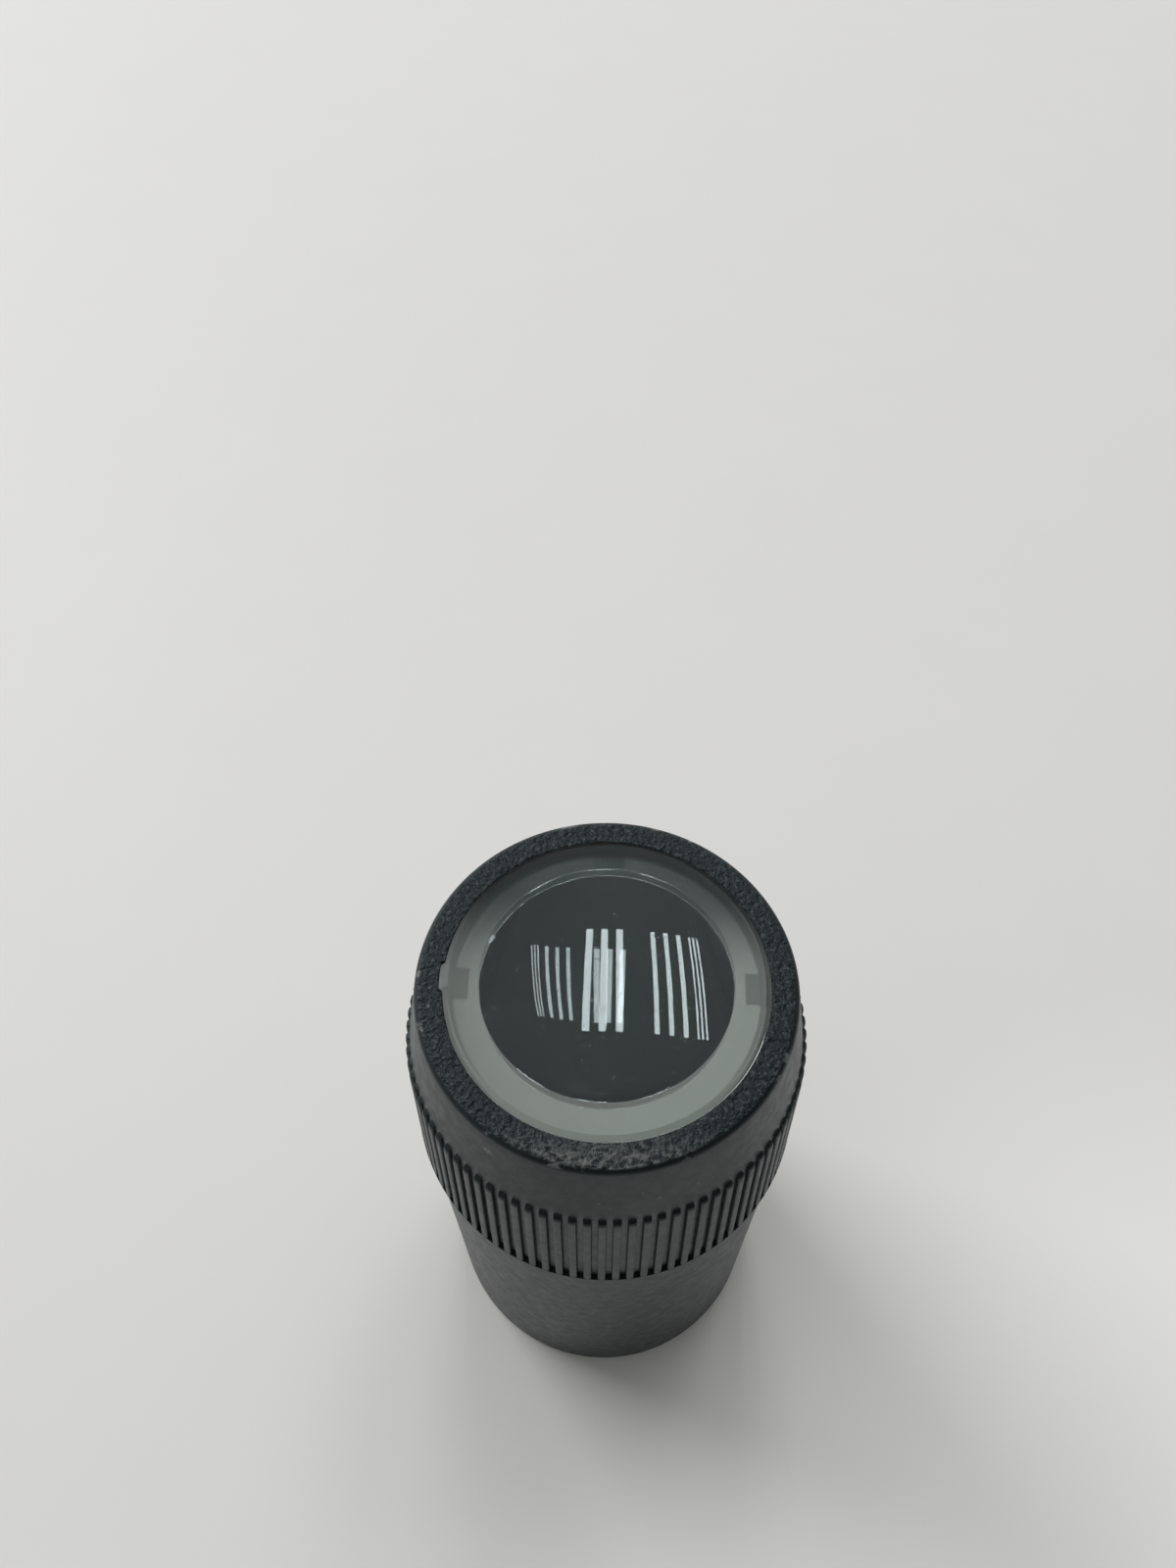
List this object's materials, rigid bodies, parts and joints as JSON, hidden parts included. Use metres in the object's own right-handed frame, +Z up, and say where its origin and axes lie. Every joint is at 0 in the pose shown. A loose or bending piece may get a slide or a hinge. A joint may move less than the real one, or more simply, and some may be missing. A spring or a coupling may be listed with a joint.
{
  "type": "stand magnifier",
  "caption": "Small black stand magnifier: ribbed eyepiece head screws up and down on an open barrel to focus a clear biconvex lens on the page below.",
  "frame": {"origin": "centre of the barrel's foot, on the surface that the magnifier stands on", "axes": "+Z up the barrel and through the eye lens, which is the turning axis of the head; the lens key is on -X; -Y faces the picture's viewer"},
  "size_m": [0.0348, 0.0348, 0.0611],
  "materials": {
    "black_moulding": "satin black moulding with light handling wear",
    "black_grip_moulding": "satin black moulding, fine spark texture on the rim face",
    "black_anodised": "black anodised, satin, so that the bore shows only glancing streaks of light",
    "bright_alloy": "bright satin, as turned",
    "spring_steel": "bright rolled",
    "black_rubber": "matt",
    "clear_acrylic": "clear polished, lightly scratched"
  },
  "bodies": {
    "stand": {"barrel": "black_moulding", "base_ring": "black_moulding", "focus_tube": "black_anodised", "stop_ring": "spring_steel"},
    "drag_ring": {"friction_ring": "black_rubber"},
    "head": {"eyepiece_head": "black_grip_moulding", "eye_lens": "clear_acrylic", "focus_nut": "bright_alloy"}
  },
  "joints": [
    {"name": "focus_lift", "type": "slide", "parent": "stand", "child": "drag_ring", "axis": [0, 0, 1], "range_m": [0, 0.004]},
    {"name": "focus_turn", "type": "hinge", "parent": "drag_ring", "child": "head", "pos_m": [0, 0, 0.05], "axis": [0, 0, 1], "range_deg": [0, 360]}
  ],
  "couplings": [
    {"joint": "focus_turn", "follows": "focus_lift", "rad_per_m": 1570.8}
  ]
}
